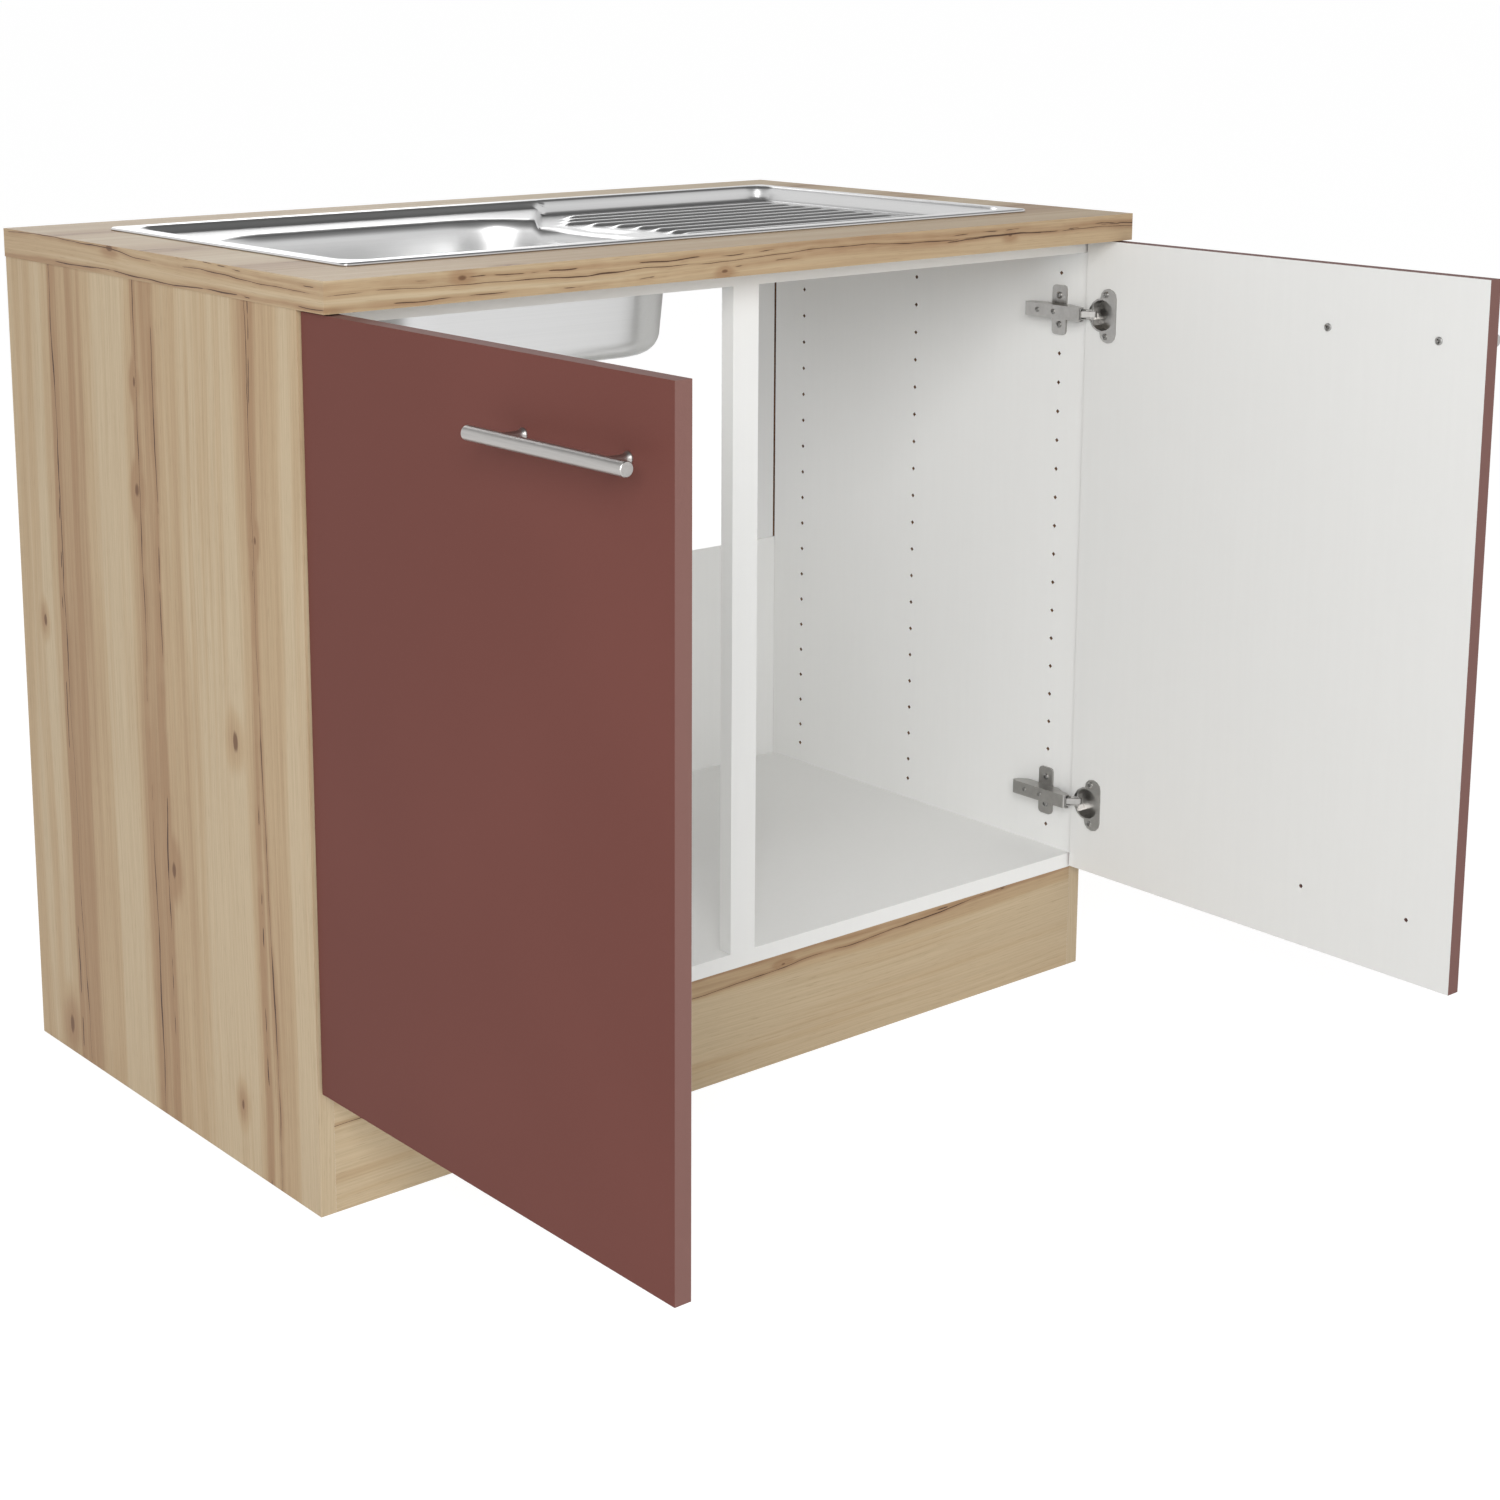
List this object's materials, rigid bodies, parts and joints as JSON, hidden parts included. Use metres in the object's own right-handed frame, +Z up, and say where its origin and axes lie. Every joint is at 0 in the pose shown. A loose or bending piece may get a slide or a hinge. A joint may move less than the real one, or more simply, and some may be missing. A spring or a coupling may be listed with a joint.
{
  "type": "kitchen sink unit",
  "caption": "Kitchen base unit with hinged doors, an inset steel sink with bowl and ribbed drainer, and an open back for pipes.",
  "frame": {"origin": "on the floor, in the middle of the plinth board's front bottom edge, in the cabinet's front plane", "axes": "+X to the unit's right seen from the front, +Y towards the wall, +Z up"},
  "size_m": [1.0598, 1.0535, 0.8535],
  "materials": {
    "oak_board": "light oak decor on chipboard, matt",
    "white_board": "white coated chipboard, matt",
    "door_board": "brown-red matt front, pale grey inner face",
    "sink_steel": "satin stainless steel",
    "waste_steel": "polished stainless steel",
    "clamp_steel": "zinc-plated strip",
    "seal_foam": "matt black",
    "waste_plastic": "white plastic",
    "handle_steel": "satin stainless steel",
    "hinge_nickel": "nickel-plated steel",
    "pin_steel": "plain steel",
    "screw_steel": "nickel-plated steel"
  },
  "bodies": {
    "cabinet": {"arm_pins_left": "pin_steel", "arm_pins_right": "pin_steel", "arm_screws_left": "screw_steel", "arm_screws_right": "screw_steel", "back_panel": "white_board", "bottom_panel": "white_board", "centre_post": "white_board", "front_rail": "white_board", "hinge_arm_left_lower": "hinge_nickel", "hinge_arm_left_upper": "hinge_nickel", "hinge_arm_right_lower": "hinge_nickel", "hinge_arm_right_upper": "hinge_nickel", "hinge_plate_left_lower": "hinge_nickel", "hinge_plate_left_upper": "hinge_nickel", "hinge_plate_right_lower": "hinge_nickel", "hinge_plate_right_upper": "hinge_nickel", "plate_screws_left": "screw_steel", "plate_screws_right": "screw_steel", "plinth_board": "oak_board", "rear_rail": "white_board", "side_panel_left": "oak_board", "side_panel_right": "oak_board", "sink": "sink_steel", "sink_clamps": "clamp_steel", "sink_seal": "seal_foam", "waste_flange": "waste_steel", "waste_gasket": "seal_foam", "waste_nut": "waste_plastic", "waste_outlet": "waste_plastic", "worktop": "oak_board"},
    "left_door": {"cup_pins_left": "pin_steel", "cup_screws_left": "screw_steel", "door_left": "door_board", "handle_bar_left": "handle_steel", "handle_posts_left": "handle_steel", "handle_screws_left": "screw_steel", "hinge_cup_left_lower": "hinge_nickel", "hinge_cup_left_upper": "hinge_nickel"},
    "left_links": {"hinge_link_left_lower": "hinge_nickel", "hinge_link_left_upper": "hinge_nickel"},
    "left_second_links": {"hinge_second_link_left_lower": "hinge_nickel", "hinge_second_link_left_upper": "hinge_nickel"},
    "right_door": {"cup_pins_right": "pin_steel", "cup_screws_right": "screw_steel", "door_right": "door_board", "handle_bar_right": "handle_steel", "handle_posts_right": "handle_steel", "handle_screws_right": "screw_steel", "hinge_cup_right_lower": "hinge_nickel", "hinge_cup_right_upper": "hinge_nickel"},
    "right_links": {"hinge_link_right_lower": "hinge_nickel", "hinge_link_right_upper": "hinge_nickel"},
    "right_second_links": {"hinge_second_link_right_lower": "hinge_nickel", "hinge_second_link_right_upper": "hinge_nickel"},
    "strainer": {"waste_basket": "waste_steel"}
  },
  "joints": [
    {"name": "left_links_swing", "type": "hinge", "parent": "cabinet", "child": "left_links", "pos_m": [-0.4718, 0.00279, 0.4688], "axis": [0, 0, 1], "range_deg": [-44.5, 2.6]},
    {"name": "left_door_swing", "type": "hinge", "parent": "left_links", "child": "left_door", "pos_m": [-0.47985, -0.0125, 0.4688], "axis": [0, 0, 1], "range_deg": [-7.46, 134.4]},
    {"name": "left_second_links_swing", "type": "hinge", "parent": "cabinet", "child": "left_second_links", "pos_m": [-0.4682, -0.0047, 0.4688], "axis": [0, 0, 1], "range_deg": [-43.8, 2.6]},
    {"name": "right_links_swing", "type": "hinge", "parent": "cabinet", "child": "right_links", "pos_m": [0.4718, 0.00279, 0.4688], "axis": [0, 0, -1], "range_deg": [-44.5, 2.6]},
    {"name": "right_door_swing", "type": "hinge", "parent": "right_links", "child": "right_door", "pos_m": [0.47985, -0.0125, 0.4688], "axis": [0, 0, -1], "range_deg": [-7.46, 134.4]},
    {"name": "right_second_links_swing", "type": "hinge", "parent": "cabinet", "child": "right_second_links", "pos_m": [0.4682, -0.0047, 0.4688], "axis": [0, 0, -1], "range_deg": [-43.8, 2.6]},
    {"name": "strainer_lift", "type": "slide", "parent": "cabinet", "child": "strainer", "axis": [0, 0, 1], "range_m": [0, 0.06]}
  ],
  "couplings": [
    {"joint": "left_links_swing", "follows": "left_door_swing", "ratio": -0.33037},
    {"joint": "left_second_links_swing", "follows": "left_door_swing", "ratio": -0.325},
    {"joint": "right_links_swing", "follows": "right_door_swing", "ratio": -0.33037},
    {"joint": "right_second_links_swing", "follows": "right_door_swing", "ratio": -0.325}
  ]
}
